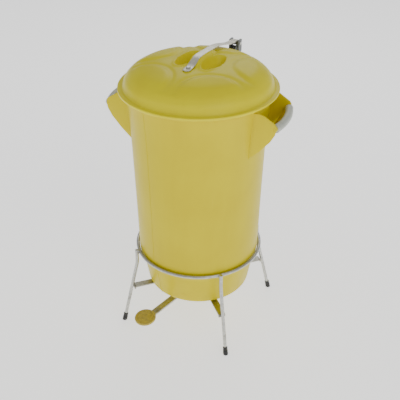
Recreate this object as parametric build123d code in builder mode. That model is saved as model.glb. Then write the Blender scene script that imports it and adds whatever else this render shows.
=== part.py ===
from build123d import *
import os
from math import atan2, cos, radians, sin

# Pedal bin: a round moulded tub with a domed lid, held in a four-legged stand of bent rod.
# Millimetres, +Z up, the floor at z = 0 and the tub's axis on the Z axis. The pedal is at the
# front (-Y) and the lid's hinge is behind the tub (+Y).

os.makedirs("parts", exist_ok=True)

# Tub
BASE_Z = 125.0            # underside of the tub, on the crossed bars
WALL = 3.2
BASE_R = 149.0
BASE_CORNER = 14.0
STEP_LOW_Z, STEP_LOW_R = 221.0, 165.0
STEP_TOP_Z, STEP_TOP_R = 240.0, 174.0
MID_Z, MID_R = 400.0, 176.0
SHOULDER_Z, SHOULDER_R = 640.0, 182.5
NECK_Z, NECK_R = 728.0, 190.0
RIM_Z, RIM_R = 736.0, 205.5
RIM_ROUND = 4.0

# Ears moulded on the tub, each with a grip sleeve on its bar
EAR_ANGLE = 5.0           # direction of the right ear; the left one is opposite
EAR_HALF = 74.0           # half the distance between the two webs
EAR_END_U = 224.0         # distance of the bar's ends from the tub's axis, along the ear
EAR_MID_U = 238.0         # the same at the bar's middle
EAR_BAR_Z = 680.0
EAR_BAR_R = 7.0
EAR_WEB = 5.0
GRIP_R = 10.5
GRIP_HALF = 64.0
APRON_HALF_ANGLE = 18.5
APRON_TOP_R = 229.0

# Lid
FLANGE_R = 210.0
FLANGE_Z = RIM_Z + 0.3
LIP_R, LIP_Z = 207.8, 733.0
DOME_FOOT_R = 196.0
DOME_EDGE_R, DOME_EDGE_Z = 176.0, 776.0
DOME_TOP_Z = 800.0
SHELL = 3.0
RECESS_X, RECESS_Y = 37.0, 12.0
RECESS_LONG, RECESS_WIDE = 108.0, 46.0
RECESS_FLOOR_Z = 776.0
RIDGE_HALF = 12.5

# Stand
ROD_R = 5.0
RING_R, RING_Z = 180.0, 245.0
LEG_TOP_R, LEG_TOP_Z, LEG_BEND_Z = 189.7, 252.0, 210.0
FOOT_R = 240.0
CAP_R, CAP_LONG, CAP_FLOOR = 7.2, 24.0, 4.0
LEG_ANGLES = {"front_left": 225, "front_right": 315, "rear_right": 45, "rear_left": 135}
BAR_WIDE, BAR_THICK = 20.0, 4.0
TAB_DROP = 9.0
TIE_WIDE = 26.0

# Lid mechanism
HINGE_Y, HINGE_Z = 238.0, 776.0
PIN_R, PIN_PLAY = 3.0, 0.05
KNUCKLE_R = 6.0
CRANK_LONG, CRANK_REST = 26.0, 35.0
CRANK_PIN_R = 2.5
CHEEK_MIDDLE, CHEEK_THICK = 8.5, 3.0
ROD_Y, PUSH_R = 215.0, 3.0
PUSH_FOOT_R = 5.0
GUIDE_R = 6.0
HEAD_FOOT_Z, HEAD_HIGH, HEAD_HALF = 750.0, 22.5, 6.3
STRAP_WIDE, STRAP_THICK = 20.0, 3.0
STRAP_SCREW_Y, STRAP_SCREW_Z = -58.0, 802.6
# The strap's middle line and the ridge under it, as (y, z) from the front backwards
STRAP_POINTS = [(-76, 800.2), (-46, 801.5), (-6, 816), (104, 811), (190, 788), (238, 783.5)]
RIDGE_POINTS = [(-46, 790), (-40, 799), (-8, 813.5), (58, 811.5), (98, 800), (104, 790)]

# Rear upright, behind the push rod, with the hinge bracket on its top
UPRIGHT_Y, UPRIGHT_FOOT_Z = 238.0, 104.0
BRACKET_FOOT_Z, BRACKET_TOP_Z = 750.0, 786.0
BRACKET_HALF, CHEEK_FRONT_Y = 15.0, 226.0
TIE_FRONT_Y, TIE_REAR_Y = -16.0, 248.5

# Pedal
PIVOT_Y, PIVOT_Z, PIVOT_R = 40.0, 95.0, 4.0
PIVOT_CHEEK_X = 12.75     # middle of each cheek of the pivot bracket
LEVER_THICK = 5.0
LEVER_BEND_Y = 12.0
LEVER_REAR_Z = 78.0       # lever's middle under the push rod
PAD_X, PAD_Y, PAD_R, PAD_THICK = -70.0, -210.0, 31.0, 8.0
LEVER_FRONT_Z = 71.5      # lever's middle under the pad


def save(part, name):
    part.label = name
    export_step(part, f"parts/{name}.step")


def turned(angle, z=0.0):
    """Plane through the Z axis at height z, its x direction turned by angle."""
    return Plane.XY.offset(z).rotated((0, 0, angle))


# ---- Tub with its two ears ----
with BuildPart() as bin_body:
    with BuildSketch(Plane.XZ):
        with BuildLine():
            outside = FilletPolyline(
                (0, BASE_Z),
                (BASE_R, BASE_Z),
                (STEP_LOW_R, STEP_LOW_Z),
                (STEP_TOP_R, STEP_TOP_Z),
                (MID_R, MID_Z),
                (SHOULDER_R, SHOULDER_Z),
                (NECK_R, NECK_Z),
                (RIM_R, NECK_Z + 1),
                (RIM_R, RIM_Z),
                (NECK_R - WALL, RIM_Z),
                radius=[BASE_CORNER, 6, 6, 200, 200, 2, 1, RIM_ROUND],
            )
            inside = FilletPolyline(
                (0, BASE_Z + WALL),
                (BASE_R - WALL, BASE_Z + WALL),
                (STEP_LOW_R - WALL, STEP_LOW_Z + 1),
                (STEP_TOP_R - WALL, STEP_TOP_Z + 1),
                (MID_R - WALL, MID_Z),
                (SHOULDER_R - WALL, SHOULDER_Z),
                (NECK_R - WALL, RIM_Z),
                radius=[BASE_CORNER - WALL, 6, 6, 200, 200],
            )
            Line(outside @ 0, inside @ 0)
        make_face()
    revolve(axis=Axis.Z)
    # Each ear: a bowed bar between two webs, over an apron that slopes back to the tub's wall.
    for side in (EAR_ANGLE, EAR_ANGLE + 180):
        for web_v in (-EAR_HALF, EAR_HALF):
            web_plane = Plane(turned(side).location * Location((0, web_v, 0), (90, 0, 0)))
            with BuildSketch(web_plane):
                with BuildLine():
                    FilletPolyline(
                        (STEP_TOP_R - 12, NECK_Z - 14),
                        (STEP_TOP_R + 15, NECK_Z - 10),
                        (EAR_END_U + 6, EAR_BAR_Z + 12),
                        (EAR_END_U + 4, EAR_BAR_Z - 14),
                        (STEP_TOP_R - 12, EAR_BAR_Z - 88),
                        radius=[4, 8, 8, 2, 2],
                        close=True,
                    )
                make_face()
            extrude(amount=EAR_WEB / 2, both=True)
        with BuildLine(turned(side, EAR_BAR_Z)) as bar_line:
            ThreePointArc((EAR_END_U, -EAR_HALF), (EAR_MID_U, 0), (EAR_END_U, EAR_HALF))
        with BuildSketch(Plane(bar_line.line @ 0, z_dir=bar_line.line % 0)):
            Circle(EAR_BAR_R)
        sweep(path=bar_line.line)
        apron_start = turned(side - APRON_HALF_ANGLE)
        with BuildSketch(Plane(apron_start.location * Location((0, 0, 0), (90, 0, 0)))):
            with BuildLine():
                Polyline(
                    (APRON_TOP_R, EAR_BAR_Z - 10),
                    (APRON_TOP_R - 3.5, EAR_BAR_Z - 8),
                    (STEP_TOP_R + 4.5, EAR_BAR_Z - 80),
                    (STEP_TOP_R + 4.5, EAR_BAR_Z - 86),
                    close=True,
                )
            make_face()
        revolve(axis=Axis.Z, revolution_arc=2 * APRON_HALF_ANGLE)
    # The webs stop inside the wall: clear the tub's inside again.
    with BuildSketch(Plane.XY.offset(EAR_BAR_Z - 95)):
        Circle(SHOULDER_R - WALL - 2.2)
    extrude(amount=NECK_Z - EAR_BAR_Z + 92, mode=Mode.SUBTRACT, taper=-1.9)
save(bin_body.part, "bin_body")

# ---- Grip sleeves on the ear bars ----
for grip_name, side in (("right_grip", EAR_ANGLE), ("left_grip", EAR_ANGLE + 180)):
    with BuildPart() as grip:
        with BuildLine(turned(side, EAR_BAR_Z)) as grip_line:
            whole = ThreePointArc(
                (EAR_END_U, -EAR_HALF), (EAR_MID_U, 0), (EAR_END_U, EAR_HALF), mode=Mode.PRIVATE
            )
            spare = (1 - GRIP_HALF / EAR_HALF) / 2
            ThreePointArc(whole @ spare, whole @ 0.5, whole @ (1 - spare))
        with BuildSketch(Plane(grip_line.line @ 0, z_dir=grip_line.line % 0)):
            Circle(GRIP_R)
            Circle(EAR_BAR_R + 0.05, mode=Mode.SUBTRACT)
        sweep(path=grip_line.line)
    save(grip.part, grip_name)

# ---- Lid: flange with a lip, domed shell, two finger recesses and a ridge between them ----
with BuildPart() as lid:
    with BuildSketch(Plane.XZ):
        with BuildLine():
            Polyline(
                (0, DOME_TOP_Z - SHELL),
                (0, DOME_TOP_Z),
            )
            ThreePointArc(
                (0, DOME_TOP_Z), (DOME_EDGE_R * 0.55, DOME_TOP_Z - 6), (DOME_EDGE_R, DOME_EDGE_Z)
            )
            ThreePointArc(
                (DOME_EDGE_R, DOME_EDGE_Z),
                (DOME_FOOT_R - 8.5, DOME_EDGE_Z - 12),
                (DOME_FOOT_R, FLANGE_Z + SHELL),
            )
            Polyline(
                (DOME_FOOT_R, FLANGE_Z + SHELL),
                (FLANGE_R - 1.5, FLANGE_Z + SHELL),
                (FLANGE_R, FLANGE_Z + 1.5),
                (FLANGE_R, LIP_Z),
                (LIP_R, LIP_Z),
                (LIP_R, FLANGE_Z),
                (184, FLANGE_Z),
                (184, FLANGE_Z - 7),
                (181, FLANGE_Z - 7),
                (181, FLANGE_Z + SHELL),
                (DOME_FOOT_R - SHELL, FLANGE_Z + SHELL),
            )
            ThreePointArc(
                (DOME_FOOT_R - SHELL, FLANGE_Z + SHELL),
                (DOME_FOOT_R - 8.5 - 2.7, DOME_EDGE_Z - 13.5),
                (DOME_EDGE_R - 1.6, DOME_EDGE_Z - 2.8),
            )
            ThreePointArc(
                (DOME_EDGE_R - 1.6, DOME_EDGE_Z - 2.8),
                (DOME_EDGE_R * 0.55, DOME_TOP_Z - 6 - SHELL),
                (0, DOME_TOP_Z - SHELL),
            )
        make_face()
    revolve(axis=Axis.Z)
    for side in (-1, 1):
        with BuildSketch(Plane.XY.offset(RECESS_FLOOR_Z - SHELL)):
            with Locations((side * RECESS_X, RECESS_Y)):
                Ellipse(RECESS_WIDE / 2 + SHELL, RECESS_LONG / 2 + SHELL)
        extrude(amount=DOME_TOP_Z - 6 - RECESS_FLOOR_Z)
    with BuildSketch(Plane.YZ):
        with BuildLine():
            FilletPolyline(*RIDGE_POINTS, radius=[1, 6, 25, 40, 6, 1], close=True)
        make_face()
    extrude(amount=RIDGE_HALF, both=True)
    for side in (-1, 1):
        with BuildSketch(Plane.XY.offset(RECESS_FLOOR_Z)):
            with Locations((side * RECESS_X, RECESS_Y)):
                Ellipse(RECESS_WIDE / 2, RECESS_LONG / 2)
        extrude(amount=DOME_TOP_Z + 20 - RECESS_FLOOR_Z, mode=Mode.SUBTRACT)
    with BuildSketch(Plane.XY.offset(DOME_TOP_Z - 30)):
        with Locations((0, STRAP_SCREW_Y)):
            Circle(3.0)
    extrude(amount=60, mode=Mode.SUBTRACT)
save(lid.part, "lid")

# ---- Lifting strap, its screw, and the knuckle that carries it on the hinge pin ----
with BuildPart() as lid_strap:
    with BuildSketch(Plane.YZ):
        with BuildLine():
            FilletPolyline(*STRAP_POINTS, radius=[30, 60, 120, 60])
        trace(line_width=STRAP_THICK)
    extrude(amount=STRAP_WIDE / 2, both=True)
    with BuildSketch(Plane.XY.offset(DOME_TOP_Z - 10)):
        with Locations((0, STRAP_SCREW_Y)):
            Circle(3.0)
    extrude(amount=40, mode=Mode.SUBTRACT)
save(lid_strap.part, "lid_strap")

with BuildPart() as strap_screw:
    with BuildSketch(Plane.XY.offset(STRAP_SCREW_Z)):
        with Locations((0, STRAP_SCREW_Y)):
            Circle(6.0)
    extrude(amount=3.6)
    fillet(strap_screw.edges().group_by(Axis.Z)[-1], 2.4)
    with BuildSketch(Plane.XY.offset(STRAP_SCREW_Z - 22)):
        with Locations((0, STRAP_SCREW_Y)):
            Circle(2.95)
    extrude(amount=22)
save(strap_screw.part, "strap_screw")

NUT_TOP_Z = STRAP_SCREW_Z - 9.6
with BuildPart() as strap_washer:
    with BuildSketch(Plane.XY.offset(NUT_TOP_Z)):
        with Locations((0, STRAP_SCREW_Y)):
            Circle(11.0)
            Circle(3.05, mode=Mode.SUBTRACT)
    extrude(amount=1.6)
save(strap_washer.part, "strap_washer")

with BuildPart() as strap_nut:
    with BuildSketch(Plane.XY.offset(NUT_TOP_Z - 5)):
        with Locations((0, STRAP_SCREW_Y)):
            RegularPolygon(5.0, 6, major_radius=False)
            Circle(3.0, mode=Mode.SUBTRACT)
    extrude(amount=5)
save(strap_nut.part, "strap_nut")

CRANK_PIN_Y = HINGE_Y - CRANK_LONG * cos(radians(CRANK_REST))
CRANK_PIN_Z = HINGE_Z - CRANK_LONG * sin(radians(CRANK_REST))
with BuildPart() as hinge_knuckle:
    with BuildSketch(Plane.YZ):
        with Locations((HINGE_Y, HINGE_Z)):
            Circle(KNUCKLE_R)
    extrude(amount=STRAP_WIDE / 2, both=True)
    for side in (-1, 1):
        with BuildSketch(Plane.YZ.offset(side * CHEEK_MIDDLE)):
            with BuildLine():
                crank_line = Line((HINGE_Y, HINGE_Z), (CRANK_PIN_Y, CRANK_PIN_Z))
            with Locations(crank_line @ 0.5):
                SlotCenterToCenter(CRANK_LONG, 10, rotation=CRANK_REST)
        extrude(amount=CHEEK_THICK / 2, both=True)
    with BuildSketch(Plane.YZ):
        with Locations((HINGE_Y, HINGE_Z)):
            Circle(PIN_R + PIN_PLAY)
        with Locations((CRANK_PIN_Y, CRANK_PIN_Z)):
            Circle(CRANK_PIN_R)
    extrude(amount=STRAP_WIDE, both=True, mode=Mode.SUBTRACT)
save(hinge_knuckle.part, "hinge_knuckle")

with BuildPart() as crank_pin:
    with BuildSketch(Plane.YZ):
        with Locations((CRANK_PIN_Y, CRANK_PIN_Z)):
            Circle(CRANK_PIN_R)
    extrude(amount=STRAP_WIDE / 2 + 0.4, both=True)
save(crank_pin.part, "crank_pin")

# ---- Stand: ring, four legs, four foot caps ----
with BuildPart() as support_ring:
    with BuildSketch(Plane.XZ):
        with Locations((RING_R, RING_Z)):
            Circle(ROD_R)
    revolve(axis=Axis.Z)
save(support_ring.part, "support_ring")

LEG_LEAN = atan2(FOOT_R - LEG_TOP_R, LEG_BEND_Z)
for leg_name, leg_angle in LEG_ANGLES.items():
    out = Vector(cos(radians(leg_angle)), sin(radians(leg_angle)), 0)
    down = (out * sin(LEG_LEAN) - Vector(0, 0, 1) * cos(LEG_LEAN)).normalized()
    foot = out * FOOT_R
    leg_end = foot - down * CAP_FLOOR
    with BuildPart() as leg:
        with BuildLine() as leg_line:
            FilletPolyline(
                out * LEG_TOP_R + Vector(0, 0, LEG_TOP_Z),
                out * LEG_TOP_R + Vector(0, 0, LEG_BEND_Z),
                leg_end,
                radius=40,
            )
        with BuildSketch(Plane(leg_line.line @ 0, z_dir=leg_line.line % 0)):
            Circle(ROD_R)
        sweep(path=leg_line.line)
        fillet(leg.edges().group_by(Axis.Z)[-1], 1.5)
    save(leg.part, f"leg_{leg_name}")
    with BuildPart() as foot_cap:
        with BuildSketch(Plane(foot + down * CAP_R, z_dir=down * -1)):
            Circle(CAP_R)
        extrude(amount=CAP_LONG + CAP_R)
        fillet(foot_cap.edges().group_by(Axis.Z)[-1], 2)
        split(bisect_by=Plane.XY, keep=Keep.TOP)
        with BuildSketch(Plane(leg_end, z_dir=down * -1)):
            Circle(ROD_R)
        extrude(amount=CAP_LONG, mode=Mode.SUBTRACT)
    save(foot_cap.part, f"foot_cap_{leg_name}")

# ---- Crossed bars under the tub, with their ends turned down against the legs ----
BAR_END = LEG_TOP_R + (LEG_BEND_Z - BASE_Z) * (FOOT_R - LEG_TOP_R) / LEG_BEND_Z - ROD_R - 0.2
for bar_name, bar_angle, bar_top in (
    ("cross_bar_upper", 45, BASE_Z),
    ("cross_bar_lower", 135, BASE_Z - BAR_THICK),
):
    with BuildPart() as cross_bar:
        bar_plane = turned(bar_angle, bar_top)
        with BuildSketch(Plane(bar_plane.location * Location((0, 0, 0), (90, 0, 0)))):
            with BuildLine():
                FilletPolyline(
                    (-BAR_END, -TAB_DROP),
                    (-BAR_END, 0),
                    (BAR_END, 0),
                    (BAR_END, -TAB_DROP),
                    (BAR_END - BAR_THICK, -TAB_DROP),
                    (BAR_END - BAR_THICK, -BAR_THICK),
                    (BAR_THICK - BAR_END, -BAR_THICK),
                    (BAR_THICK - BAR_END, -TAB_DROP),
                    radius=[0.5, 5, 5, 0.5, 0.5, 1, 1, 0.5],
                    close=True,
                )
            make_face()
        extrude(amount=BAR_WIDE / 2, both=True)
        with BuildSketch(Plane.XY.offset(BASE_Z)):
            Circle(4.0)
        extrude(amount=-20, mode=Mode.SUBTRACT)
    save(cross_bar.part, bar_name)

TIE_TOP = BASE_Z - 2 * BAR_THICK
with BuildPart() as rear_tie_bar:
    with BuildSketch(Plane.XY.offset(TIE_TOP)):
        with Locations((0, (TIE_REAR_Y + TIE_FRONT_Y) / 2)):
            RectangleRounded(TIE_WIDE, TIE_REAR_Y - TIE_FRONT_Y, 6)
        Circle(4.0, mode=Mode.SUBTRACT)
        with Locations((0, ROD_Y)):
            Circle(PUSH_FOOT_R + 1.2, mode=Mode.SUBTRACT)
        with Locations((0, UPRIGHT_Y)):
            Circle(ROD_R, mode=Mode.SUBTRACT)
        with Locations((0, PIVOT_Y - 8), (0, PIVOT_Y + 8)):
            Circle(2.5, mode=Mode.SUBTRACT)
    extrude(amount=-BAR_THICK)
save(rear_tie_bar.part, "rear_tie_bar")

TIE_UNDER = TIE_TOP - BAR_THICK
with BuildPart() as cross_rivet:
    with BuildSketch(Plane.XY.offset(BASE_Z)):
        Circle(4.0)
    extrude(amount=TIE_UNDER - BASE_Z)
    with BuildSketch(Plane.XY.offset(TIE_UNDER)):
        Circle(7.5)
    extrude(amount=-3.5)
    fillet(cross_rivet.edges().group_by(Axis.Z)[0], 2.5)
save(cross_rivet.part, "cross_rivet")

# ---- Rear upright, its nuts and the bracket that ties it to the ring ----
with BuildPart() as rear_upright:
    with BuildSketch(Plane.XY.offset(UPRIGHT_FOOT_Z)):
        with Locations((0, UPRIGHT_Y)):
            Circle(ROD_R)
    extrude(amount=BRACKET_FOOT_Z + 4 - UPRIGHT_FOOT_Z)
    chamfer(rear_upright.edges().group_by(Axis.Z)[0], 1)
save(rear_upright.part, "rear_upright")

with BuildPart() as upright_nuts:
    for nut_z in (TIE_TOP, TIE_UNDER - 8):
        with BuildSketch(Plane.XY.offset(nut_z)):
            with Locations((0, UPRIGHT_Y)):
                RegularPolygon(8.5, 6, major_radius=False)
                Circle(ROD_R, mode=Mode.SUBTRACT)
        extrude(amount=8)
save(upright_nuts.part, "upright_nuts")

RING_PLATE_Z = RING_Z + ROD_R - 0.4
with BuildPart() as ring_bracket:
    with BuildSketch(Plane.XY.offset(RING_PLATE_Z)):
        with Locations((0, (RING_R - 1 + TIE_REAR_Y) / 2)):
            RectangleRounded(TIE_WIDE - 4, TIE_REAR_Y - RING_R + 1, 6)
        with Locations((0, ROD_Y)):
            Circle(GUIDE_R, mode=Mode.SUBTRACT)
        with Locations((0, UPRIGHT_Y)):
            Circle(ROD_R, mode=Mode.SUBTRACT)
    extrude(amount=BAR_THICK)
save(ring_bracket.part, "ring_bracket")

with BuildPart() as rod_guide:
    with BuildSketch(Plane.XY.offset(RING_PLATE_Z - 4)):
        with Locations((0, ROD_Y)):
            Circle(GUIDE_R)
    extrude(amount=BAR_THICK + 4)
    with BuildSketch(Plane.XY.offset(RING_PLATE_Z + BAR_THICK)):
        with Locations((0, ROD_Y)):
            Circle(GUIDE_R + 2)
    extrude(amount=2.5)
    with BuildSketch(Plane.XY.offset(RING_PLATE_Z - 10)):
        with Locations((0, ROD_Y)):
            Circle(PUSH_R + PIN_PLAY)
    extrude(amount=40, mode=Mode.SUBTRACT)
save(rod_guide.part, "rod_guide")

# ---- Hinge bracket on the upright, its set screw, the hinge pin and the pin's clip ----
with BuildPart() as hinge_bracket:
    with BuildSketch(Plane.YZ):
        with BuildLine():
            FilletPolyline(
                (CHEEK_FRONT_Y, BRACKET_FOOT_Z + 10),
                (CHEEK_FRONT_Y + 5, BRACKET_FOOT_Z),
                (TIE_REAR_Y, BRACKET_FOOT_Z),
                (TIE_REAR_Y, BRACKET_TOP_Z),
                (CHEEK_FRONT_Y, BRACKET_TOP_Z),
                radius=[2, 1, 1, 4, 4],
                close=True,
            )
        make_face()
    extrude(amount=BRACKET_HALF, both=True)
    with BuildSketch(Plane.XY.offset(BRACKET_FOOT_Z + 9)):
        with Locations((0, TIE_REAR_Y - 3 - BRACKET_HALF * 2)):
            Rectangle(BRACKET_HALF * 2 - 8, BRACKET_HALF * 4)
    extrude(amount=60, mode=Mode.SUBTRACT)
    with BuildSketch(Plane.XY.offset(BRACKET_FOOT_Z + 13)):
        with Locations((0, TIE_REAR_Y)):
            Rectangle(BRACKET_HALF * 2 - 8, 30)
    extrude(amount=60, mode=Mode.SUBTRACT)
    with BuildSketch(Plane.XY.offset(BRACKET_FOOT_Z - 14)):
        with Locations((0, UPRIGHT_Y)):
            Circle(9.0)
    extrude(amount=14)
    with BuildSketch(Plane.XY.offset(BRACKET_FOOT_Z - 20)):
        with Locations((0, UPRIGHT_Y)):
            Circle(ROD_R)
    extrude(amount=24, mode=Mode.SUBTRACT)
    with BuildSketch(Plane.YZ):
        with Locations((HINGE_Y, HINGE_Z)):
            Circle(PIN_R)
    extrude(amount=40, both=True, mode=Mode.SUBTRACT)
    with BuildSketch(Plane.YZ):
        with Locations((UPRIGHT_Y, BRACKET_FOOT_Z - 7)):
            Circle(2.0)
    extrude(amount=12, mode=Mode.SUBTRACT)
save(hinge_bracket.part, "hinge_bracket")

with BuildPart() as bracket_set_screw:
    with BuildSketch(Plane.YZ.offset(ROD_R + 0.1)):
        with Locations((UPRIGHT_Y, BRACKET_FOOT_Z - 7)):
            Circle(2.0)
    extrude(amount=4.4)
    with BuildSketch(Plane.YZ.offset(9.2)):
        with Locations((UPRIGHT_Y, BRACKET_FOOT_Z - 7)):
            RegularPolygon(3.5, 6, major_radius=False)
    extrude(amount=3)
save(bracket_set_screw.part, "bracket_set_screw")

with BuildPart() as hinge_pin:
    with BuildSketch(Plane.YZ.offset(-BRACKET_HALF - 3)):
        with Locations((HINGE_Y, HINGE_Z)):
            Circle(PIN_R)
    extrude(amount=BRACKET_HALF * 2 + 3)
    with BuildSketch(Plane.YZ.offset(BRACKET_HALF)):
        with Locations((HINGE_Y, HINGE_Z)):
            Circle(5.2)
    extrude(amount=2.4)
    fillet(hinge_pin.edges().group_by(Axis.X)[-1], 1.5)
save(hinge_pin.part, "hinge_pin")

with BuildPart() as hinge_pin_clip:
    with BuildSketch(Plane.YZ.offset(-BRACKET_HALF - 1.3)):
        with Locations((HINGE_Y, HINGE_Z)):
            Circle(5.0)
            Circle(PIN_R, mode=Mode.SUBTRACT)
    extrude(amount=1.2)
save(hinge_pin_clip.part, "hinge_pin_clip")

# ---- Push rod, its slotted head on the crank pin and its rounded foot on the lever ----
REAR_REACH = ROD_Y - PIVOT_Y
REAR_SLOPE = atan2(PIVOT_Z - LEVER_REAR_Z, REAR_REACH)
PUSH_FOOT_Z = LEVER_REAR_Z + (LEVER_THICK / 2 + PUSH_FOOT_R + 0.3) / cos(REAR_SLOPE)

with BuildPart() as push_rod:
    with BuildSketch(Plane.XY.offset(PUSH_FOOT_Z)):
        with Locations((0, ROD_Y)):
            Circle(PUSH_R)
    extrude(amount=HEAD_FOOT_Z + 6 - PUSH_FOOT_Z)
save(push_rod.part, "push_rod")

with BuildPart() as push_rod_foot:
    with BuildSketch(Plane.XY.offset(PUSH_FOOT_Z)):
        with Locations((0, ROD_Y)):
            Circle(PUSH_FOOT_R)
    extrude(amount=16)
    with Locations((0, ROD_Y, PUSH_FOOT_Z)):
        Sphere(PUSH_FOOT_R)
    with BuildSketch(Plane.XY.offset(PUSH_FOOT_Z)):
        with Locations((0, ROD_Y)):
            Circle(PUSH_R)
    extrude(amount=20, mode=Mode.SUBTRACT)
save(push_rod_foot.part, "push_rod_foot")

SLOT_Y = (CRANK_PIN_Y + HINGE_Y - CRANK_LONG) / 2
SLOT_LONG = CRANK_PIN_Y - HINGE_Y + CRANK_LONG + 2 * CRANK_PIN_R + 1.2
SLOT_HIGH = 2 * CRANK_PIN_R + 1.6
with BuildPart() as push_rod_head:
    with BuildSketch(Plane.YZ):
        with Locations((ROD_Y, HEAD_FOOT_Z + HEAD_HIGH / 2)):
            RectangleRounded(19, HEAD_HIGH, 4)
    extrude(amount=HEAD_HALF, both=True)
    with BuildSketch(Plane.YZ):
        with Locations((SLOT_Y, CRANK_PIN_Z)):
            RectangleRounded(SLOT_LONG, SLOT_HIGH, SLOT_HIGH / 2 - 0.1)
    extrude(amount=20, both=True, mode=Mode.SUBTRACT)
    with BuildSketch(Plane.XY.offset(HEAD_FOOT_Z)):
        with Locations((0, ROD_Y)):
            Circle(PUSH_R)
    extrude(amount=6, mode=Mode.SUBTRACT)
save(push_rod_head.part, "push_rod_head")

# ---- Pedal: pivot bracket, its rivets, pivot pin, clip, lever, pad and the pad's screw ----
with BuildPart() as pivot_bracket:
    with BuildSketch(Plane.XY.offset(TIE_UNDER)):
        with Locations((0, PIVOT_Y)):
            Rectangle(2 * PIVOT_CHEEK_X + 3.5, 30)
    extrude(amount=-BAR_THICK)
    for side in (-1, 1):
        with BuildSketch(Plane.YZ.offset(side * PIVOT_CHEEK_X)):
            with Locations((PIVOT_Y, TIE_UNDER - 14.5)):
                RectangleRounded(26, 29, 8)
            with Locations((PIVOT_Y, TIE_UNDER - 6)):
                Rectangle(26, 12)
        extrude(amount=1.75, both=True)
    with BuildSketch(Plane.YZ):
        with Locations((PIVOT_Y, PIVOT_Z)):
            Circle(PIVOT_R)
    extrude(amount=30, both=True, mode=Mode.SUBTRACT)
    with BuildSketch(Plane.XY.offset(TIE_UNDER)):
        with Locations((0, PIVOT_Y - 8), (0, PIVOT_Y + 8)):
            Circle(2.5)
    extrude(amount=-BAR_THICK, mode=Mode.SUBTRACT)
save(pivot_bracket.part, "pivot_bracket")

with BuildPart() as pivot_bracket_rivets:
    for z, radius, rise in (
        (TIE_TOP, 4.5, 2.0),
        (TIE_TOP, 2.5, -2 * BAR_THICK),
        (TIE_UNDER - BAR_THICK, 4.5, -2.0),
    ):
        with BuildSketch(Plane.XY.offset(z)):
            with Locations((0, PIVOT_Y - 8), (0, PIVOT_Y + 8)):
                Circle(radius)
        extrude(amount=rise)
save(pivot_bracket_rivets.part, "pivot_bracket_rivets")

PIVOT_FACE_X = PIVOT_CHEEK_X + 1.75
with BuildPart() as pivot_pin:
    with BuildSketch(Plane.YZ.offset(-PIVOT_FACE_X - 3)):
        with Locations((PIVOT_Y, PIVOT_Z)):
            Circle(PIVOT_R)
    extrude(amount=2 * PIVOT_FACE_X + 3)
    with BuildSketch(Plane.YZ.offset(PIVOT_FACE_X)):
        with Locations((PIVOT_Y, PIVOT_Z)):
            Circle(6.5)
    extrude(amount=2.5)
    fillet(pivot_pin.edges().group_by(Axis.X)[-1], 1.5)
save(pivot_pin.part, "pivot_pin")

with BuildPart() as pivot_pin_clip:
    with BuildSketch(Plane.YZ.offset(-PIVOT_FACE_X - 1.4)):
        with Locations((PIVOT_Y, PIVOT_Z)):
            Circle(6.5)
            Circle(PIVOT_R, mode=Mode.SUBTRACT)
    extrude(amount=1.3)
save(pivot_pin_clip.part, "pivot_pin_clip")

front_drop = (PIVOT_Z - LEVER_FRONT_Z) / (PIVOT_Y - PAD_Y)
pivot_point = Vector(0, PIVOT_Y, PIVOT_Z)
bend_point = Vector(0, LEVER_BEND_Y, PIVOT_Z - (PIVOT_Y - LEVER_BEND_Y) * front_drop)
pad_point = Vector(PAD_X, PAD_Y, LEVER_FRONT_Z)


def arm_plane(start, end):
    """Plane of a flat arm from start towards end: x along the arm, z square to its face."""
    along = (end - start).normalized()
    across = Vector(0, 0, 1).cross(along).normalized()
    return Plane(start, x_dir=along, z_dir=along.cross(across))


rear_arm = arm_plane(pivot_point, Vector(0, ROD_Y, LEVER_REAR_Z))
middle_arm = arm_plane(pivot_point, bend_point)
front_arm = arm_plane(bend_point, pad_point)
front_long = (pad_point - bend_point).length
with BuildPart() as pedal_lever:
    for plane, begin, end in (
        (rear_arm, 0, REAR_REACH + 10),
        (middle_arm, 0, (bend_point - pivot_point).length),
        (front_arm, 0, front_long + 12),
    ):
        with BuildSketch(plane):
            with Locations(((begin + end) / 2, 0)):
                SlotOverall(end - begin + BAR_WIDE, BAR_WIDE)
            with Locations((end + BAR_WIDE, 0)):
                Rectangle(BAR_WIDE * 2, BAR_WIDE * 2, mode=Mode.SUBTRACT)
        extrude(amount=LEVER_THICK / 2, both=True)
    with BuildSketch(Plane.YZ):
        with Locations((PIVOT_Y, PIVOT_Z)):
            Circle(PIVOT_R + 4)
    extrude(amount=BAR_WIDE / 2, both=True)
    with BuildSketch(Plane.YZ):
        with Locations((PIVOT_Y, PIVOT_Z)):
            Circle(PIVOT_R + PIN_PLAY)
    extrude(amount=BAR_WIDE, both=True, mode=Mode.SUBTRACT)
    with BuildSketch(front_arm):
        with Locations((front_long, 0)):
            Circle(3.0)
    extrude(amount=20, both=True, mode=Mode.SUBTRACT)
save(pedal_lever.part, "pedal_lever")

pad_seat = front_arm.offset(LEVER_THICK / 2)
with BuildPart() as pedal_pad:
    with BuildSketch(pad_seat):
        with Locations((front_long, 0)):
            Circle(PAD_R)
    extrude(amount=PAD_THICK)
    fillet(pedal_pad.edges().filter_by(GeomType.CIRCLE), 2.5)
    with BuildSketch(pad_seat):
        with Locations((front_long, 0)):
            Circle(3.0)
    extrude(amount=PAD_THICK - 2.5, mode=Mode.SUBTRACT)
save(pedal_pad.part, "pedal_pad")

with BuildPart() as pedal_pad_screw:
    with BuildSketch(front_arm.offset(-LEVER_THICK / 2)):
        with Locations((front_long, 0)):
            Circle(6.0)
    extrude(amount=-3)
    with BuildSketch(front_arm.offset(-LEVER_THICK / 2)):
        with Locations((front_long, 0)):
            Circle(2.95)
    extrude(amount=LEVER_THICK + PAD_THICK - 3)
save(pedal_pad_screw.part, "pedal_pad_screw")
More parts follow.
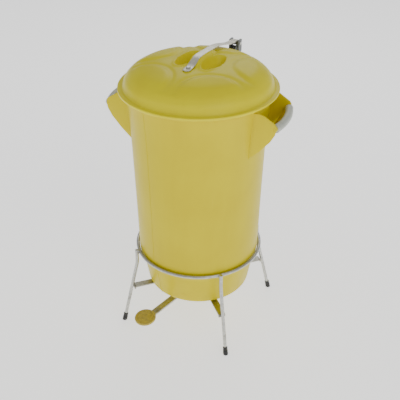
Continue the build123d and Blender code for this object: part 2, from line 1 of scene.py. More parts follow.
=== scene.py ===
import bpy
import bmesh
from math import atan2, cos, exp, hypot, pi, radians, sin
from mathutils import Euler, Matrix, Vector


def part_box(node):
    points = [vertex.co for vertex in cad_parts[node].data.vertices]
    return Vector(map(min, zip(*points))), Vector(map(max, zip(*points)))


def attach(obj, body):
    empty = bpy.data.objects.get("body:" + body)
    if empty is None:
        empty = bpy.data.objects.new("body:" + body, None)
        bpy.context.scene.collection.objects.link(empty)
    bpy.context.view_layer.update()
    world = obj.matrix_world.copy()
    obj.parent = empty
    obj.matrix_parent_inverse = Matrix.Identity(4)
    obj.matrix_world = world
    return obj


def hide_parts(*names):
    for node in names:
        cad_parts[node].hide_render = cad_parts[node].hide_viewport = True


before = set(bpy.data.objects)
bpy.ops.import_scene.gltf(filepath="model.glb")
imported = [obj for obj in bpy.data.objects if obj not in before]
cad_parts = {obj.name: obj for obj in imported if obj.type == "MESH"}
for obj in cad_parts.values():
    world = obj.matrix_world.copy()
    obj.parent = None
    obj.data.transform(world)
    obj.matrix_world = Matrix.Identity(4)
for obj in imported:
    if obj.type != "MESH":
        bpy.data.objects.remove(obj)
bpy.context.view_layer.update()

# ------------------------------------------------------------------------------------------
# Tub. One rotationally moulded polyethylene shell with a rounded rim, a step near its foot
# that the stand's ring sits round, and two ears moulded on its sides. It stands loose on the
# crossed bars.
# ------------------------------------------------------------------------------------------


class Socket:
    """One output in a material, whose arithmetic adds Math nodes."""

    def __init__(self, finish, socket):
        self.finish = finish
        self.socket = socket

    def math(self, operation, *values):
        numbered = dict(enumerate(values))
        return self.finish.node("ShaderNodeMath", {"operation": operation}, numbered)

    def __add__(self, other):
        return self.math("ADD", self, other)

    def __sub__(self, other):
        return self.math("SUBTRACT", self, other)

    def __mul__(self, other):
        return self.math("MULTIPLY", self, other)

    def __rsub__(self, other):
        return self.math("SUBTRACT", other, self)

    __radd__ = __add__
    __rmul__ = __mul__

    def step(self, low, high):
        """0 below low, 1 above high, with a smooth rise between."""
        values = {"Value": self, "From Min": low, "From Max": high}
        return self.finish.node("ShaderNodeMapRange", {"interpolation_type": "SMOOTHSTEP"}, values)


class Finish:
    """A material with one Principled shader."""

    def __init__(self, name, roughness, metallic=0.0, **constants):
        self.material = bpy.data.materials.new(name)
        self.material.use_nodes = True
        self.tree = self.material.node_tree
        self.shader = self.tree.nodes["Principled BSDF"]
        self.shader.inputs["Roughness"].default_value = roughness
        self.shader.inputs["Metallic"].default_value = metallic
        for key, value in constants.items():
            self.shader.inputs[key.replace("_", " ")].default_value = value

    def node(self, kind, settings=None, values=None, out=0):
        made = self.tree.nodes.new(kind)
        for key, value in (settings or {}).items():
            setattr(made, key, value)
        for key, value in (values or {}).items():
            if isinstance(value, Socket):
                self.tree.links.new(value.socket, made.inputs[key])
            else:
                made.inputs[key].default_value = value
        return Socket(self, made.outputs[out])

    def place(self, scale=(1, 1, 1)):
        """Object coordinates, in metres, stretched by scale."""
        spot = self.node("ShaderNodeTexCoord", out="Object")
        return self.node("ShaderNodeMapping", None, {"Vector": spot, "Scale": scale})

    def parts(self):
        """The x, y and z of a point as three sockets."""
        spot = self.node("ShaderNodeTexCoord", out="Object")
        split = self.tree.nodes.new("ShaderNodeSeparateXYZ")
        self.tree.links.new(spot.socket, split.inputs[0])
        return [Socket(self, output) for output in split.outputs]

    def noise(self, scale, detail=3.0, roughness=0.55, stretch=(1, 1, 1), distortion=0.0):
        values = {
            "Vector": self.place(stretch),
            "Scale": scale,
            "Detail": detail,
            "Roughness": roughness,
            "Distortion": distortion,
        }
        return self.node("ShaderNodeTexNoise", None, values)

    def spots(self, scale):
        return self.node("ShaderNodeTexVoronoi", None, {"Vector": self.place(), "Scale": scale})

    def mix(self, factor, first, second):
        """first where factor is 0 and second where it is 1, both colours."""
        made = self.tree.nodes.new("ShaderNodeMix")
        made.data_type = "RGBA"
        for key, value in (("Factor", factor), (6, first), (7, second)):
            socket = made.inputs[key]
            if isinstance(value, Socket):
                self.tree.links.new(value.socket, socket)
            else:
                socket.default_value = value if key == "Factor" else (*value, 1.0)
        return Socket(self, made.outputs[2])

    def feed(self, name, socket):
        self.tree.links.new(socket.socket, self.shader.inputs[name])

    def bump(self, height, distance, strength=1.0):
        values = {"Height": height, "Distance": distance, "Strength": strength}
        self.feed("Normal", self.node("ShaderNodeBump", None, values))


def moulded_yellow(name, base, shade, edge_z):
    """Moulded polyethylene: faint swirls of pigment, an orange-peel skin, scuffs, and darker, rougher
    patches towards the foot.
    """
    finish = Finish(name, 0.34, Specular_IOR_Level=0.14)
    cloud = finish.noise(7.0, 4.0)
    flow = finish.noise(16.0, 3.0, stretch=(1, 1, 0.18), distortion=0.4)
    colour = finish.mix((cloud * 0.6 + flow * 0.4).step(0.34, 0.70), base, shade)
    # Darker, rougher patches within 7 cm above edge_z, at the tub's foot.
    foot_patches = (1.0 - finish.parts()[2].step(edge_z, edge_z + 0.07)) * finish.noise(40.0, 5.0).step(0.45, 0.75)
    colour = finish.mix(foot_patches * 0.22, colour, (0.40, 0.31, 0.02))
    scratch = finish.noise(95.0, 2.0, stretch=(1, 1, 0.05)).step(0.62, 0.80)
    scuff = scratch * finish.noise(5.0, 2.0).step(0.50, 0.68)
    finish.feed("Base Color", finish.mix(scuff * 0.20, colour, (0.86, 0.76, 0.12)))
    finish.feed("Roughness", 0.30 + cloud * 0.10 + scuff * 0.25 + foot_patches * 0.25)
    peel = finish.noise(420.0, 2.0)
    wave = finish.noise(9.0, 2.0, stretch=(1, 1, 0.4))
    finish.bump(wave * 1.0 + peel * 0.10 + scuff * 0.06, 0.0012, 0.55)
    return finish.material


def piece(name, mesh, material, body, slot_name, *nodes, smooth=40):
    """A finished piece from a bmesh: it rides on body and stands for the CAD nodes."""
    bmesh.ops.remove_doubles(mesh, verts=mesh.verts, dist=1e-6)
    data = bpy.data.meshes.new(name)
    mesh.to_mesh(data)
    mesh.free()
    made = bpy.data.objects.new(name, data)
    bpy.context.scene.collection.objects.link(made)
    data.materials.append(material)
    data.shade_smooth()
    data.set_sharp_from_angle(angle=radians(smooth))
    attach(made, body)
    if nodes:
        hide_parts(*nodes)
    return made


def spun(mesh, outline, steps, angle=2 * pi, start=0.0):
    """Turns an outline of (radius, height) points about the Z axis."""
    turn = Matrix.Rotation(start, 3, "Z")
    points = [mesh.verts.new(turn @ Vector((r, 0, z))) for r, z in outline]
    edges = [mesh.edges.new(pair) for pair in zip(points, points[1:])]
    bmesh.ops.spin(
        mesh,
        geom=points + edges,
        cent=(0, 0, 0),
        axis=(0, 0, 1),
        angle=angle,
        steps=steps,
        use_merge=angle > 6.28,
    )


def outwards(mesh):
    """Merges doubles and turns every face to the outside."""
    bmesh.ops.remove_doubles(mesh, verts=mesh.verts, dist=1e-6)
    bmesh.ops.recalc_face_normals(mesh, faces=mesh.faces)


def rounded(corners, bends, count=5):
    """An outline with a smooth bend at each inner corner, that starts bend away from it."""
    points = [Vector(corners[0])]
    for before, corner, after, bend in zip(corners, corners[1:], corners[2:], bends):
        corner = Vector(corner)
        back = (Vector(before) - corner).normalized()
        ahead = (Vector(after) - corner).normalized()
        for i in range(count + 1):
            t = i / count
            first = corner + back * bend * (1 - t)
            second = corner + ahead * bend * t
            points.append(first.lerp(second, t))
    points.append(Vector(corners[-1]))
    return points


TUB_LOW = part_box("bin_body")[0][2]
RIM_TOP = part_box("bin_body")[1][2]
TUB_WALL = 0.0032
FOOT_R, STEP_R, BODY_R, SHOULDER_R, NECK_R, RIM_R = 0.149, 0.165, 0.174, 0.1825, 0.190, 0.2055
tub_corners = [
    (0.0, TUB_LOW + 0.006),
    (0.118, TUB_LOW + 0.006),
    (0.124, TUB_LOW),
    (FOOT_R, TUB_LOW),
    (STEP_R, TUB_LOW + 0.096),
    (BODY_R, TUB_LOW + 0.115),
    (0.1765, TUB_LOW + 0.275),
    (SHOULDER_R, TUB_LOW + 0.515),
    (NECK_R, RIM_TOP - 0.008),
    (RIM_R, RIM_TOP - 0.0075),
    (RIM_R, RIM_TOP),
    (NECK_R - TUB_WALL, RIM_TOP),
    (SHOULDER_R - TUB_WALL, TUB_LOW + 0.515),
    (BODY_R - TUB_WALL, TUB_LOW + 0.116),
    (STEP_R - TUB_WALL, TUB_LOW + 0.098),
    (FOOT_R - TUB_WALL, TUB_LOW + TUB_WALL),
    (0.121, TUB_LOW + TUB_WALL),
    (0.115, TUB_LOW + 0.006 + TUB_WALL),
    (0.0, TUB_LOW + 0.006 + TUB_WALL),
]
tub_bends = [0.003, 0.003, 0.013, 0.007, 0.007, 0.06, 0.06, 0.003, 0.0025, 0.0035]
tub_bends += [0.004, 0.06, 0.007, 0.007, 0.011, 0.003, 0.003]
tub = bmesh.new()
spun(tub, rounded(tub_corners, tub_bends), 160)
outwards(tub)

EAR_TURN = radians(5.0)
EAR_HALF, EAR_END, EAR_MID, EAR_BAR_Z = 0.074, 0.224, 0.238, 0.680
WEB_THICK = 0.0045


def pushed(mesh, faces, way):
    """Extrudes faces by the vector way and gives back the new vertices."""
    made = bmesh.ops.extrude_face_region(mesh, geom=faces)["geom"]
    fresh = [item for item in made if isinstance(item, bmesh.types.BMVert)]
    bmesh.ops.translate(mesh, verts=fresh, vec=way)
    return fresh


def softened(mesh, width, segments=2, angle=30):
    """Rounds every edge that is sharper than angle."""
    sharp = [edge for edge in mesh.edges if edge.is_manifold and edge.calc_face_angle() > radians(angle)]
    bmesh.ops.bevel(
        mesh,
        geom=sharp,
        offset=width,
        segments=segments,
        profile=0.5,
        affect="EDGES",
        material=-1,
        clamp_overlap=True,
    )


def joined(mesh, extra, matrix=Matrix.Identity(4)):
    """Adds a copy of the bmesh extra, moved by matrix, and frees extra."""
    bmesh.ops.transform(extra, matrix=matrix, verts=extra.verts)
    data = bpy.data.meshes.new("part")
    extra.to_mesh(data)
    mesh.from_mesh(data)
    bpy.data.meshes.remove(data)
    extra.free()


def tube_along(points, radius, sides=20, ends=True):
    """A round bar of that radius with its middle on points, made by extruding a circle."""
    bar = bmesh.new()
    spots = [Vector(point) for point in points]
    ways = [(after - before).normalized() for before, after in zip(spots, spots[1:])]
    ways = [ways[0]] + [(a + b).normalized() for a, b in zip(ways, ways[1:])] + [ways[-1]]
    turn = ways[0].to_track_quat("Z", "Y")
    ring = bmesh.ops.create_circle(bar, cap_ends=ends, segments=sides, radius=radius)["verts"]
    matrix = Matrix.Translation(spots[0]) @ turn.to_matrix().to_4x4()
    bmesh.ops.transform(bar, matrix=matrix, verts=ring)
    edges = [edge for edge in bar.edges]
    for before, after, way, spot, last in zip(ways, ways[1:], ways[1:], spots[1:], spots):
        made = bmesh.ops.extrude_edge_only(bar, edges=edges)["geom"]
        fresh = [item for item in made if isinstance(item, bmesh.types.BMVert)]
        edges = [item for item in made if isinstance(item, bmesh.types.BMEdge)]
        bmesh.ops.rotate(
            bar, verts=fresh, cent=last, matrix=before.rotation_difference(after).to_matrix()
        )
        bmesh.ops.translate(bar, verts=fresh, vec=spot - last)
    if ends:
        bmesh.ops.contextual_create(bar, geom=edges)
    return bar


def bowed(half, count=24):
    """Points along an ear's bar, about half to each side of its middle, before it is turned."""
    rise = EAR_MID - EAR_END
    bend = (EAR_HALF**2 + rise**2) / (2 * rise)
    widest = atan2(half, bend - rise)
    turns = [widest * (2 * i / count - 1) for i in range(count + 1)]
    return [(EAR_MID - bend + bend * cos(t), bend * sin(t), EAR_BAR_Z) for t in turns]


def ear():
    """One ear: two webs, the bar between them, and the apron that slopes back to the wall."""
    whole = bmesh.new()
    web_outline = [
        (0.1712, 0.7165),
        (0.186, 0.7175),
        (0.199, 0.7145),
        (0.2275, 0.6960),
        (0.2312, 0.6900),
        (0.2320, 0.6800),
        (0.2290, 0.6660),
        (0.2180, 0.6460),
        (0.1920, 0.6150),
        (0.1685, 0.5920),
        (0.1636, 0.5860),
    ]
    for side in (-1, 1):
        web = bmesh.new()
        y = side * EAR_HALF - WEB_THICK / 2
        points = [web.verts.new((u, y, z)) for u, z in web_outline]
        face = web.faces.new(points)
        pushed(web, [face], (0, WEB_THICK, 0))
        outwards(web)
        softened(web, 0.0014, 3)
        joined(whole, web)
    apron = bmesh.new()
    apron_outline = [
        (0.2268, 0.676),
        (0.2292, 0.6765),
        (0.2300, 0.673),
        (0.2290, 0.669),
        (0.2130, 0.641),
        (0.1960, 0.6145),
        (0.1820, 0.592),
        (0.1780, 0.590),
        (0.1780, 0.598),
        (0.1925, 0.618),
        (0.2100, 0.644),
        (0.2268, 0.676),
    ]
    half = radians(18.4)
    spun(apron, apron_outline, 26, angle=2 * half, start=-half)
    outwards(apron)
    joined(whole, apron)
    joined(whole, tube_along(bowed(EAR_HALF + 0.002), 0.007, 16))
    return whole


for turn in (EAR_TURN, EAR_TURN + pi):
    joined(tub, ear(), Matrix.Rotation(turn, 4, "Z"))
# The outline's points from the foot's corner to under the rim
SEAM_STRETCH = slice(14, 48)
for turn in (radians(250), radians(70)):
    # Parting line of the mould, a low rib down the wall
    seam_points = []
    for r, z in rounded(tub_corners, tub_bends)[SEAM_STRETCH]:
        seam_points.append((r * cos(turn), r * sin(turn), z))
    joined(tub, tube_along(seam_points, 0.0007, 6))
TUB_YELLOW = (0.760, 0.635, 0.0)
TUB_SHADE = (0.700, 0.565, 0.0)
tub_finish = moulded_yellow("tub_yellow", TUB_YELLOW, TUB_SHADE, TUB_LOW)
piece("tub_shell", tub, tub_finish, "stand", "tub_yellow", "bin_body", smooth=35)

# ------------------------------------------------------------------------------------------
# Grips. A light grey plastic sleeve sits round the bar of each ear. It has shallow rings, and
# its ends swell a little towards the webs.
# ------------------------------------------------------------------------------------------
GRIP_R, GRIP_HALF = 0.0105, 0.064


def grey_grip():
    """Satin plastic, faintly mottled, with dirt from handling."""
    finish = Finish("grip_grey", 0.42)
    soft = finish.noise(60.0, 4.0)
    colour = finish.mix(soft.step(0.35, 0.7), (0.52, 0.55, 0.47), (0.62, 0.64, 0.56))
    dirt = finish.noise(18.0, 5.0).step(0.55, 0.75)
    finish.feed("Base Color", finish.mix(dirt * 0.35, colour, (0.36, 0.36, 0.27)))
    finish.feed("Roughness", 0.36 + soft * 0.16 + dirt * 0.12)
    finish.bump(finish.noise(500.0, 2.0) * 0.5 + soft, 0.0004, 0.4)
    return finish.material


grip_finish = grey_grip()
for grip_name, turn in (("right_grip", EAR_TURN), ("left_grip", EAR_TURN + pi)):
    grip = tube_along(bowed(GRIP_HALF, 40), GRIP_R, 28)
    for vert in grip.verts:
        middle = Vector((0, vert.co.y, 0))
        end = (abs(vert.co.y) / GRIP_HALF) ** 12
        ridge = 0.00035 * sin(vert.co.y * 900.0)
        centre = min(bowed(GRIP_HALF, 40), key=lambda spot: abs(spot[1] - vert.co.y))
        away = vert.co - Vector(centre)
        vert.co = Vector(centre) + away * (1 + 0.06 * end + ridge * 40)
    outwards(grip)
    softened(grip, 0.0012, 2, 60)
    bmesh.ops.rotate(grip, verts=grip.verts, cent=(0, 0, 0), matrix=Matrix.Rotation(turn, 3, "Z"))
    piece(f"{grip_name}_sleeve", grip, grip_finish, "stand", "grip_grey", grip_name, smooth=50)

# ------------------------------------------------------------------------------------------
# Lid. A moulded dome of the same polyethylene, with a flange that lies on the tub's rim, five
# low raised lobes with a groove round each, and two finger recesses either side of a ridge that
# serves as its handle.
# ------------------------------------------------------------------------------------------
FLANGE_TOP = RIM_TOP + 0.0033
LID_R, LIP_DROP, LID_WALL = 0.210, 0.0063, 0.0024
RECESS_X, RECESS_Y, RECESS_DEEP = 0.037, 0.012, 0.022
RECESS_HALF = (0.024, 0.055)
RIDGE_HIGH, RIDGE_EDGE, RIDGE_SIDE = 0.0145, 0.0115, 0.0165
LOBE_MIDDLE, LOBE_HALF, LOBE_HIGH, LOBE_GROOVE = 0.176, (0.090, 0.088), 0.0032, 0.0018
PRESSED_R = 0.192
LOBES = [radians(18 + 72 * i) for i in range(5)]
lid_corners = [
    (0.0, 0.7998),
    (0.060, 0.7992),
    (0.110, 0.7955),
    (0.150, 0.7875),
    (0.176, 0.7760),
    (0.1905, 0.7600),
    (0.1965, 0.7430),
    (0.1990, FLANGE_TOP),
    (LID_R, FLANGE_TOP),
    (LID_R, FLANGE_TOP - LIP_DROP),
]


def ease(value, low, high):
    """0 below low, 1 above high, smooth between."""
    t = min(1.0, max(0.0, (value - low) / (high - low)))
    return t * t * (3 - 2 * t)


def lobe_rise(x, y):
    """Height of the lobes: each is a raised arch in a groove, open towards the lid's shoulder."""
    rise = 0.0
    for turn in LOBES:
        out = x * cos(turn) + y * sin(turn)
        side = -x * sin(turn) + y * cos(turn)
        reach = hypot((out - LOBE_MIDDLE) / LOBE_HALF[0], side / LOBE_HALF[1])
        if out > 0:
            dish = LOBE_HIGH * (1 - ease(reach, 0.82, 1.0))
            dish -= LOBE_GROOVE * exp(-(((reach - 1.03) / 0.07) ** 2))
            rise += dish * ease(0.180 - hypot(x, y), 0.0, 0.030)
    return rise


def handle_rise(x, y):
    """Height of the ridge under the strap, less the recess on each side of it."""
    bed = RIDGE_HIGH * ease(y, -0.048, -0.012) * (1 - ease(y, 0.050, 0.106))
    ridge = bed * (1 - ease(abs(x), RIDGE_EDGE, RIDGE_SIDE))
    hollow = 0.0
    for side in (-1, 1):
        reach = hypot((x - side * RECESS_X) / RECESS_HALF[0], (y - RECESS_Y) / RECESS_HALF[1])
        hollow += RECESS_DEEP * (1 - ease(reach, 0.80, 1.02))
        hollow -= 0.0022 * exp(-(((reach - 1.10) / 0.10) ** 2)) * (1 - ease(abs(x), 0.05, 0.07))
    return ridge - hollow


lid = bmesh.new()
lid_outline = []
lid_rounds = rounded(lid_corners, [0.03, 0.02, 0.012, 0.008, 0.007, 0.007, 0.003, 0.0022], 4)
for start, end in zip(lid_rounds, lid_rounds[1:]):
    pace = 0.0022 if start.x < 0.11 else 0.0045
    count = max(1, int((end - start).length / pace))
    lid_outline += [start.lerp(end, i / count) for i in range(count)]
lid_outline.append(lid_rounds[-1])
spun(lid, lid_outline, 220)
outwards(lid)
for vert in lid.verts:
    if hypot(vert.co.x, vert.co.y) < PRESSED_R:
        vert.co.z += handle_rise(vert.co.x, vert.co.y) + lobe_rise(vert.co.x, vert.co.y)
# The lid's two yellows are lighter than the tub's, though both are the same polyethylene: painted light,
# for the light that falls on the lid's top.
LID_LIT_YELLOW = (0.850, 0.760, 0.0)
LID_LIT_TONE = (0.800, 0.690, 0.0)
lid_finish = moulded_yellow("lid_yellow_lit", LID_LIT_YELLOW, LID_LIT_TONE, 0.0)
lid_piece = piece("lid_shell", lid, lid_finish, "lid", "tub_yellow", "lid", smooth=50)
if lid_piece.data.polygons[len(lid_piece.data.polygons) // 3].normal.z < 0:
    lid_piece.data.flip_normals()
wall = lid_piece.modifiers.new("wall", "SOLIDIFY")
wall.thickness = LID_WALL
wall.offset = -1.0

# ------------------------------------------------------------------------------------------
# Lifting strap. A flat steel strip, bent over the lid's ridge, rounded at its front end and
# held down by one domed screw; its rear end lies on the hinge's knuckle.
# ------------------------------------------------------------------------------------------
STRAP_HALF, STRAP_THICK = 0.010, 0.003
strap_corners = [
    (-0.0760, 0.8002),
    (-0.0460, 0.8015),
    (-0.0060, 0.8160),
    (0.1040, 0.8110),
    (0.1900, 0.7880),
    (0.2380, 0.7835),
]


def worn_steel(name, base, shade, roughness, stretch=(1, 1, 1), metallic=1.0):
    """Plated steel: fine drawn marks, a spangle in the plating, dull spots."""
    finish = Finish(name, roughness, metallic)
    drawn = finish.noise(240.0, 3.0, stretch=stretch)
    spangle = finish.spots(130.0)
    tone = (drawn * 0.5 + spangle * 0.9).step(0.2, 0.9)
    colour = finish.mix(tone, base, shade)
    spot = finish.noise(28.0, 6.0).step(0.56, 0.72)
    finish.feed("Base Color", finish.mix(spot * 0.55, colour, (0.20, 0.19, 0.15)))
    finish.feed("Roughness", roughness - 0.06 + drawn * 0.14 + spot * 0.22)
    finish.bump(drawn * 0.6 + spangle * 0.5, 0.0003, 0.45)
    return finish.material


strap_finish = worn_steel("strap_steel", (0.72, 0.70, 0.60), (0.60, 0.58, 0.48), 0.38, (1, 0.08, 1))
strap = bmesh.new()
middle = rounded(strap_corners, [0.010, 0.014, 0.030, 0.016], 8)
points = [strap.verts.new((-STRAP_HALF, point.x, point.y - STRAP_THICK / 2)) for point in middle]
edges = [strap.edges.new(pair) for pair in zip(points, points[1:])]
strip = bmesh.ops.extrude_edge_only(strap, edges=edges)["geom"]
bmesh.ops.translate(
    strap,
    verts=[item for item in strip if isinstance(item, bmesh.types.BMVert)],
    vec=(2 * STRAP_HALF, 0, 0),
)
across_edges = [edge for edge in strap.edges if abs(edge.verts[0].co.x - edge.verts[1].co.x) > 0.01]
bmesh.ops.subdivide_edges(strap, edges=across_edges, cuts=7)
for vert in strap.verts:
    # Round the front end in plan
    nose = strap_corners[0][0] + STRAP_HALF
    if vert.co.y < nose:
        inset = STRAP_HALF * 0.55 * (abs(vert.co.x) / STRAP_HALF) ** 2.5
        vert.co.y = max(vert.co.y, strap_corners[0][0] + inset)
bmesh.ops.recalc_face_normals(strap, faces=strap.faces)
if sum(face.normal.z for face in strap.faces) < 0:
    bmesh.ops.reverse_faces(strap, faces=strap.faces)
pushed(strap, strap.faces[:], (0, 0, STRAP_THICK))
outwards(strap)
softened(strap, 0.0008, 2, 60)
piece("strap_strip", strap, strap_finish, "lid", "strap_steel", "lid_strap", smooth=40)

# ------------------------------------------------------------------------------------------
# Stand. A ring and four legs of bright zinc-plated rod, welded where each leg meets the ring.
# The legs end beside the ring and splay out below it.
# ------------------------------------------------------------------------------------------
ROD_R = 0.005
RING_R, RING_Z = 0.180, 0.245
LEG_TOP_R, LEG_TOP_Z, LEG_BEND_Z, FOOT_SPREAD = 0.1897, 0.252, 0.210, 0.240
LEG_TURNS = {"rear_right": 45, "rear_left": 135, "front_left": 225, "front_right": 315}
rod_finish = worn_steel("rod_zinc", (0.60, 0.60, 0.57), (0.46, 0.46, 0.43), 0.34, (1, 1, 0.1))

ring = bmesh.new()
section = bmesh.ops.create_circle(ring, segments=20, radius=ROD_R)["verts"]
bmesh.ops.rotate(ring, verts=section, cent=(0, 0, 0), matrix=Matrix.Rotation(pi / 2, 3, "X"))
bmesh.ops.translate(ring, verts=section, vec=(RING_R, 0, RING_Z))
bmesh.ops.spin(
    ring,
    geom=ring.verts[:] + ring.edges[:],
    cent=(0, 0, 0),
    axis=(0, 0, 1),
    angle=2 * pi,
    steps=160,
    use_merge=True,
)
outwards(ring)
piece("ring_rod", ring, rod_finish, "stand", "rod_zinc", "support_ring", smooth=60)

lean = atan2(FOOT_SPREAD - LEG_TOP_R, LEG_BEND_Z)
leg_bend = rounded(
    [
        (LEG_TOP_R, LEG_TOP_Z),
        (LEG_TOP_R, LEG_BEND_Z),
        (FOOT_SPREAD - 0.004 * sin(lean), 0.004 * cos(lean)),
    ],
    [0.010],
    8,
)
for leg_name, degrees_round in LEG_TURNS.items():
    leg = tube_along([(point.x, 0, point.y) for point in leg_bend], ROD_R, 20)
    outwards(leg)
    softened(leg, 0.0014, 3, 70)
    # Weld: two irregular beads where the leg touches the ring
    for rise in (-1, 1):
        bead = bmesh.new()
        bmesh.ops.create_icosphere(bead, subdivisions=3, radius=0.0034)
        for vert in bead.verts:
            ripple = 1 + 0.10 * sin(900 * vert.co.z) * cos(700 * vert.co.y)
            vert.co = Vector((vert.co.x * 1.0, vert.co.y * 1.5, vert.co.z * 1.1)) * ripple
        spot = ((RING_R + LEG_TOP_R) / 2, 0, RING_Z + rise * 0.0036)
        joined(leg, bead, Matrix.Translation(spot))
    bmesh.ops.rotate(
        leg,
        verts=leg.verts,
        cent=(0, 0, 0),
        matrix=Matrix.Rotation(radians(degrees_round), 3, "Z"),
    )
    piece(f"rod_{leg_name}", leg, rod_finish, "stand", "rod_zinc", f"leg_{leg_name}", smooth=60)

# ------------------------------------------------------------------------------------------
# Foot caps. Black moulded caps pushed on the legs' ends, with a bead round the mouth and two
# grooves round the middle.
# ------------------------------------------------------------------------------------------
CAP_R = 0.0072


def black_plastic(name):
    """Moulded black plastic, greyed by dust."""
    finish = Finish(name, 0.5)
    dust = finish.noise(70.0, 5.0).step(0.45, 0.75)
    finish.feed("Base Color", finish.mix(dust * 0.5, (0.012, 0.012, 0.013), (0.055, 0.053, 0.048)))
    finish.feed("Roughness", 0.40 + dust * 0.25)
    finish.bump(finish.noise(600.0, 2.0) * 0.4 + dust * 0.3, 0.0003, 0.4)
    return finish.material


cap_finish = black_plastic("cap_black")
cap_outline = [
    (0.0, -0.0072),
    (CAP_R, -0.0072),
    (CAP_R, 0.0065),
    (CAP_R - 0.0006, 0.0072),
    (CAP_R - 0.0006, 0.0082),
    (CAP_R, 0.0089),
    (CAP_R, 0.0112),
    (CAP_R - 0.0006, 0.0119),
    (CAP_R - 0.0006, 0.0129),
    (CAP_R - 0.0002, 0.0136),
    (CAP_R - 0.0009, 0.0204),
    (CAP_R - 0.0002, 0.0216),
    (CAP_R - 0.0003, 0.0233),
    (CAP_R - 0.0012, 0.0240),
    (ROD_R + 0.0001, 0.0237),
    (ROD_R - 0.0004, 0.0225),
]
for leg_name, degrees_round in LEG_TURNS.items():
    cap = bmesh.new()
    spun(cap, cap_outline, 36)
    turn = Matrix.Rotation(radians(degrees_round), 4, "Z")
    tilt = Matrix.Rotation(-lean, 4, "Y")
    matrix = turn @ Matrix.Translation((FOOT_SPREAD, 0, 0)) @ tilt
    bmesh.ops.transform(cap, matrix=matrix, verts=cap.verts)
    cut = bmesh.ops.bisect_plane(
        cap,
        geom=cap.verts[:] + cap.edges[:] + cap.faces[:],
        plane_co=(0, 0, 0),
        plane_no=(0, 0, 1),
        clear_inner=True,
    )
    rim = [item for item in cut["geom_cut"] if isinstance(item, bmesh.types.BMEdge)]
    bmesh.ops.contextual_create(cap, geom=rim)
    outwards(cap)
    name = f"foot_cap_{leg_name}"
    piece(f"{name}_moulding", cap, cap_finish, "stand", "cap_black", name, smooth=35)

# ------------------------------------------------------------------------------------------
# Flat bars. Zinc-plated strip: the two crossed bars under the tub, the rear tie bar, the ring
# bracket, the pivot bracket and the pedal lever. They keep their CAD shape.
# ------------------------------------------------------------------------------------------
bar_finish = worn_steel("bar_zinc", (0.50, 0.49, 0.43), (0.38, 0.37, 0.31), 0.42, (1, 1, 1))


def finished(material, *names):
    """Gives CAD nodes their material."""
    for name in names:
        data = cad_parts[name].data
        data.materials.clear()
        data.materials.append(material)


finished(bar_finish, "cross_bar_lower", "cross_bar_upper", "rear_tie_bar", "ring_bracket")
finished(bar_finish, "pivot_bracket", "pedal_lever")

# ------------------------------------------------------------------------------------------
# Pedal pad. A round disc of worn ochre plastic on the lever's front end, with a rolled edge,
# a raised middle and rings that stop a shoe from slipping.
# ------------------------------------------------------------------------------------------
PAD_X, PAD_Y, PAD_R = -0.070, -0.210, 0.031
PIVOT_Y, PIVOT_Z, ARM_Z, ARM_THICK = 0.040, 0.095, 0.0715, 0.005
BEND_Y = 0.012


def pad_plastic():
    """Ochre plastic with shoe scuffs and dirt in its rings."""
    finish = Finish("pad_ochre", 0.55)
    cloud = finish.noise(45.0, 4.0)
    colour = finish.mix(cloud.step(0.35, 0.7), (0.60, 0.47, 0.05), (0.48, 0.37, 0.06))
    dirt = finish.noise(90.0, 6.0).step(0.50, 0.72)
    finish.feed("Base Color", finish.mix(dirt * 0.45, colour, (0.24, 0.20, 0.09)))
    finish.feed("Roughness", 0.45 + dirt * 0.25)
    finish.bump(finish.noise(350.0, 3.0) + dirt * 0.5, 0.0004, 0.5)
    return finish.material


pad_outline = [
    (0.0, 0.0079),
    (0.0075, 0.0077),
    (0.0082, 0.0068),
    (0.0098, 0.0066),
    (0.0105, 0.0075),
    (0.0145, 0.0073),
    (0.0152, 0.0064),
    (0.0168, 0.0062),
    (0.0175, 0.0071),
    (0.0215, 0.0069),
    (0.0222, 0.0060),
    (0.0238, 0.0060),
    (0.0245, 0.0070),
    (0.0275, 0.0080),
    (0.0292, 0.0080),
    (0.0305, 0.0070),
    (PAD_R, 0.0050),
    (PAD_R, 0.0025),
    (0.0302, 0.0008),
    (0.0285, 0.0),
    (0.0, 0.0),
]
pad = bmesh.new()
spun(pad, pad_outline, 72)
outwards(pad)
bend_spot = Vector((0, BEND_Y, PIVOT_Z - (PIVOT_Y - BEND_Y) * (PIVOT_Z - ARM_Z) / (PIVOT_Y - PAD_Y)))
pad_spot = Vector((PAD_X, PAD_Y, ARM_Z))
along = (pad_spot - bend_spot).normalized()
across = Vector((0, 0, 1)).cross(along).normalized()
up = along.cross(across)
turned = Matrix((along, across, up)).transposed().to_4x4()
bmesh.ops.transform(
    pad,
    matrix=Matrix.Translation(pad_spot + up * ARM_THICK / 2) @ turned,
    verts=pad.verts,
)
piece("pad_disc", pad, pad_plastic(), "pedal", "pad_ochre", "pedal_pad", smooth=35)

# ------------------------------------------------------------------------------------------
# Push rod and rear upright. The thin rod lifts the lid's crank; the thick one carries the hinge
# bracket. Plated rod, black plastic head, foot and guide; the head's black in front of the hinge
# block also stands for painted shade in the gap where the strap meets the block.
# ------------------------------------------------------------------------------------------
finished(rod_finish, "push_rod", "rear_upright")
# Black plastic; on the head it also serves as painted shade in the gap between the strap and the hinge
# block.
finished(cap_finish, "push_rod_head", "push_rod_foot", "rod_guide")

# ------------------------------------------------------------------------------------------
# Hinge bracket, knuckle and fasteners. A grey painted bracket on the upright and the knuckle in
# it; bright pins, nuts, rivets and clips.
# ------------------------------------------------------------------------------------------


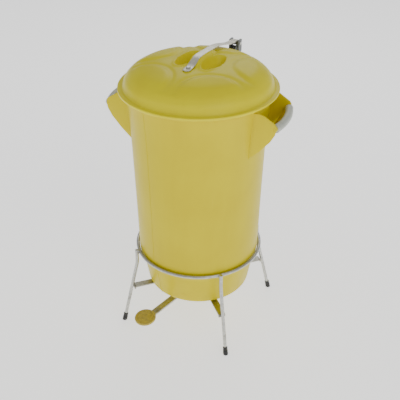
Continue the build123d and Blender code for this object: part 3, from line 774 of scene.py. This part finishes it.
def grey_paint():
    """Grey paint over steel, rubbed through in small chips."""
    finish = Finish("bracket_grey", 0.42)
    cloud = finish.noise(60.0, 4.0)
    colour = finish.mix(cloud.step(0.35, 0.7), (0.13, 0.14, 0.14), (0.18, 0.19, 0.19))
    chip = finish.noise(150.0, 4.0).step(0.64, 0.68)
    finish.feed("Base Color", finish.mix(chip, colour, (0.52, 0.51, 0.48)))
    finish.feed("Metallic", chip * 0.9)
    finish.feed("Roughness", 0.38 + cloud * 0.15)
    finish.bump(finish.noise(320.0, 2.0) - chip * 0.8, 0.0003, 0.4)
    return finish.material


finished(grey_paint(), "hinge_bracket", "hinge_knuckle")
bright_finish = worn_steel("fastener_steel", (0.62, 0.62, 0.60), (0.50, 0.50, 0.47), 0.30)
bright = [
    "bracket_set_screw",
    "crank_pin",
    "cross_rivet",
    "hinge_pin",
    "hinge_pin_clip",
    "pedal_pad_screw",
    "pivot_bracket_rivets",
    "pivot_pin",
    "pivot_pin_clip",
    "strap_nut",
    "strap_screw",
    "strap_washer",
    "upright_nuts",
]
finished(bright_finish, *bright)

# ------------------------------------------------------------------------------------------
# Studio. A wide pale floor that glows, three soft lights, and the camera.
# ------------------------------------------------------------------------------------------
studio = Finish("studio_pale", 0.9, Emission_Color=(1.0, 1.0, 1.0, 1.0), Emission_Strength=1.0)
studio.shader.inputs["Base Color"].default_value = (0.93, 0.93, 0.93, 1.0)
sheet = bmesh.new()
bmesh.ops.create_grid(sheet, x_segments=1, y_segments=1, size=40.0)
floor_data = bpy.data.meshes.new("floor")
sheet.to_mesh(floor_data)
sheet.free()
floor = bpy.data.objects.new("floor", floor_data)
floor.location.z = -0.0005
floor_data.materials.append(studio.material)
bpy.context.scene.collection.objects.link(floor)

world = bpy.data.worlds.new("studio")
world.use_nodes = True
world.node_tree.nodes["Background"].inputs["Color"].default_value = (1.0, 1.0, 1.0, 1.0)
world.node_tree.nodes["Background"].inputs["Strength"].default_value = 0.45
bpy.context.scene.world = world


def soft_light(name, place, target, size, power):
    """A square area light at place, facing target."""
    data = bpy.data.lights.new(name, "AREA")
    data.size = size
    data.energy = power
    lamp = bpy.data.objects.new(name, data)
    lamp.location = place
    lamp.rotation_euler = (Vector(target) - Vector(place)).to_track_quat("-Z", "Y").to_euler()
    bpy.context.scene.collection.objects.link(lamp)


middle_of_bin = (0.0, 0.0, 0.45)
soft_light("key", (2.4, -1.5, 2.6), middle_of_bin, 1.8, 24.0)
soft_light("fill", (-1.4, -2.6, 1.6), middle_of_bin, 2.2, 5.0)
soft_light("back", (-0.8, 2.4, 2.2), middle_of_bin, 1.6, 14.0)

CAMERA_AWAY, CAMERA_HIGH = 1.616, 1.4107
CAMERA_TURN, CAMERA_DROP = radians(26.0), radians(32.45)
lens = bpy.data.cameras.new("camera")
lens.sensor_width = 36.0
lens.lens = 60.0
lens.shift_x = 0.0035
camera = bpy.data.objects.new("camera", lens)
camera.location = (
    CAMERA_AWAY * sin(CAMERA_TURN),
    -CAMERA_AWAY * cos(CAMERA_TURN),
    CAMERA_HIGH,
)
camera.rotation_euler = Euler((pi / 2 - CAMERA_DROP, 0.0, CAMERA_TURN), "XYZ")
bpy.context.scene.collection.objects.link(camera)
bpy.context.scene.camera = camera
